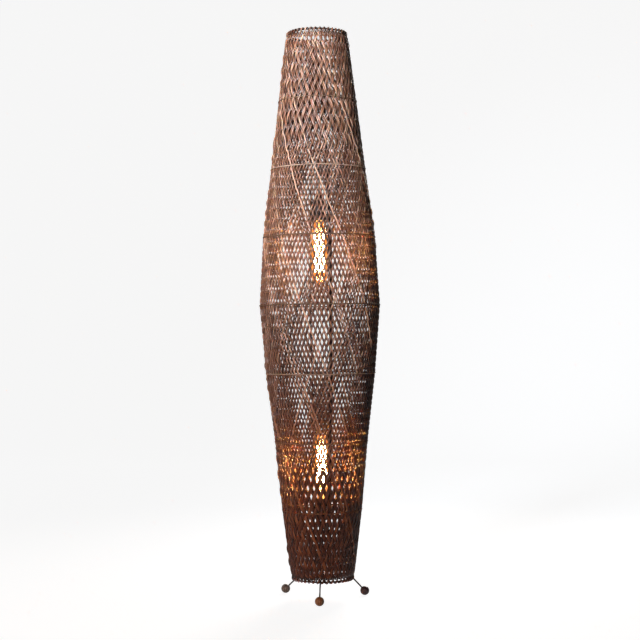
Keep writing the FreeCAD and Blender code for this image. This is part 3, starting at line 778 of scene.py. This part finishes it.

# Painted light: one wood in three tones, brightest for the lit front ball and darkest for the shaded right one.
BALL_TONES_LIT_AND_SHADED = {
    "front": ((0.50, 0.17, 0.060), (0.92, 0.48, 0.23)),
    "left": ((0.22, 0.16, 0.125), (0.60, 0.49, 0.41)),
    "right": ((0.10, 0.050, 0.055), (0.24, 0.135, 0.14)),
}
PAINTS = (
    ("_rim_ring", WIRE), ("hoop_", WIRE), ("rib_", WIRE), ("_spider", WIRE), ("leg_", LEG), ("stem_", ZINC),
    ("inner_lead", RUBBER), ("lead_bushings", RUBBER), ("inlet_gland", RESIN), ("lead_ties", NYLON),
    ("_holder_body", RESIN), ("_holder_cap", RESIN), ("_shade_rings", RESIN), ("_holder_insert", CERAMIC),
    ("_screw_shell", BRASS), ("_holder_contact", BRASS), ("_bulb_cap", BRASS), ("_bulb_contact", ZINC),
    ("_bulb_insulator", BLACK_GLAZE), ("_bulb_mount", MOUNT_GLASS),
)
for name, obj in NODES.items():
    paint = next((mat for key, mat in PAINTS if key in name), None)
    if name.startswith("foot_"):
        side = name.removeprefix("foot_")
        centre = [(low + high) / 2 for low, high in zip(*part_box(name))]
        # Painted light: each ball gets its own lit or shaded copy of the wood.
        paint = turned_wood(f"ball_wood_painted_light_{side}", *BALL_TONES_LIT_AND_SHADED[side], centre)
    if paint:
        obj.data.materials.clear()
        obj.data.materials.append(paint)


# ---------------------------------------------------------------- stage, light, camera

def make_stage():
    """A pale sweep: a floor, a bend and a wall behind. It looks bright to the camera and gives little light."""
    mat, tree, shader = new_material("pale_floor")
    clouds = noise(tree, object_coords(tree), 1.5)
    grey = ramp(tree, clouds, ((0.3, (0.34, 0.34, 0.34)), (0.7, (0.37, 0.37, 0.37))))
    tree.links.new(grey, shader.inputs["Base Color"])
    set_inputs(shader, Roughness=0.9, Emission_Color=(1.0, 1.0, 1.0, 1.0))
    path = tree.nodes.new("ShaderNodeLightPath").outputs
    seen = weighted_sum(tree, (path["Is Camera Ray"], 0.90), (path["Is Glossy Ray"], 0.25))
    tree.links.new(math_node(tree, "ADD", seen, 0.015), shader.inputs["Emission Strength"])
    width, front, back, bend, top, bend_steps = 9.0, -6.0, 4.0, 1.5, 7.0, 16
    profile = [(front, 0.0), (back, 0.0)]
    for step in range(1, bend_steps + 1):
        angle = math.pi / 2 * step / bend_steps
        profile.append((back + bend * math.sin(angle), bend - bend * math.cos(angle)))
    profile.append((back + bend, top))
    verts = [(x, y, z) for y, z in profile for x in (-width, width)]
    faces = [(2 * i, 2 * i + 1, 2 * i + 3, 2 * i + 2) for i in range(len(profile) - 1)]
    mesh = smooth_mesh("sweep", verts, faces)
    mesh.materials.append(mat)
    sweep = bpy.data.objects.new("sweep", mesh)
    bpy.context.scene.collection.objects.link(sweep)


def add_area(name, place, target, size, energy, colour, spread=180.0):
    """A square area light, which the camera doesn't see, aimed at a point."""
    light = bpy.data.lights.new(name, "AREA")
    light.shape = "SQUARE"
    light.size = size
    light.energy = energy
    light.color = colour
    light.spread = math.radians(spread)
    lamp = bpy.data.objects.new(name, light)
    lamp.visible_camera = False
    lamp.location = place
    lamp.rotation_euler = (Vector(target) - Vector(place)).to_track_quat("-Z", "Y").to_euler()
    bpy.context.scene.collection.objects.link(lamp)


make_stage()
add_area("key", (-1.3, -2.6, 2.1), (0.0, 0.0, 1.30), 0.7, 11.3, (0.78, 0.88, 1.0), 40.0)
add_area("back", (0.9, 3.1, 1.9), (0.0, 0.0, 0.95), 1.2, 11.0, (1.0, 0.93, 0.88), 70.0)
add_area("fill", (-2.2, -2.4, 0.5), (0.0, 0.0, 0.42), 1.0, 2.2, (1.0, 0.56, 0.34), 60.0)
add_area("floor_bounce", (0.0, 0.0, 0.03), (0.0, 0.0, 1.0), 0.13, 0.5, (0.96, 0.92, 1.0))

world = bpy.data.worlds.new("studio")
bpy.context.scene.world = world
world.use_nodes = True
sky_tree = world.node_tree
sky = set_inputs(sky_tree.nodes["Background"], Color=(1.0, 0.98, 0.96, 1.0))
sky_path = sky_tree.nodes.new("ShaderNodeLightPath").outputs
seen_sky = weighted_sum(sky_tree, (sky_path["Is Camera Ray"], 0.92))
sky_tree.links.new(math_node(sky_tree, "ADD", seen_sky, 0.012), sky.inputs["Strength"])
bpy.context.scene.view_settings.view_transform = "Standard"

CAMERA_DISTANCE = 3.60
CAMERA_HEIGHT = 0.683
CAMERA_PITCH = math.radians(0.84)
CAMERA_ROLL = math.radians(0.65)
CAMERA_LENS = 76.3
camera_data = bpy.data.cameras.new("camera")
camera_data.sensor_width = 36.0
camera_data.lens = CAMERA_LENS
camera_data.clip_end = 50.0
camera = bpy.data.objects.new("camera", camera_data)
upright = Euler((math.pi / 2 + CAMERA_PITCH, 0.0, 0.0)).to_matrix()
camera.matrix_world = Matrix.Translation((0.0, -CAMERA_DISTANCE, CAMERA_HEIGHT)) @ (
    upright @ Matrix.Rotation(-CAMERA_ROLL, 3, "Z")).to_4x4()
bpy.context.scene.collection.objects.link(camera)
bpy.context.scene.camera = camera
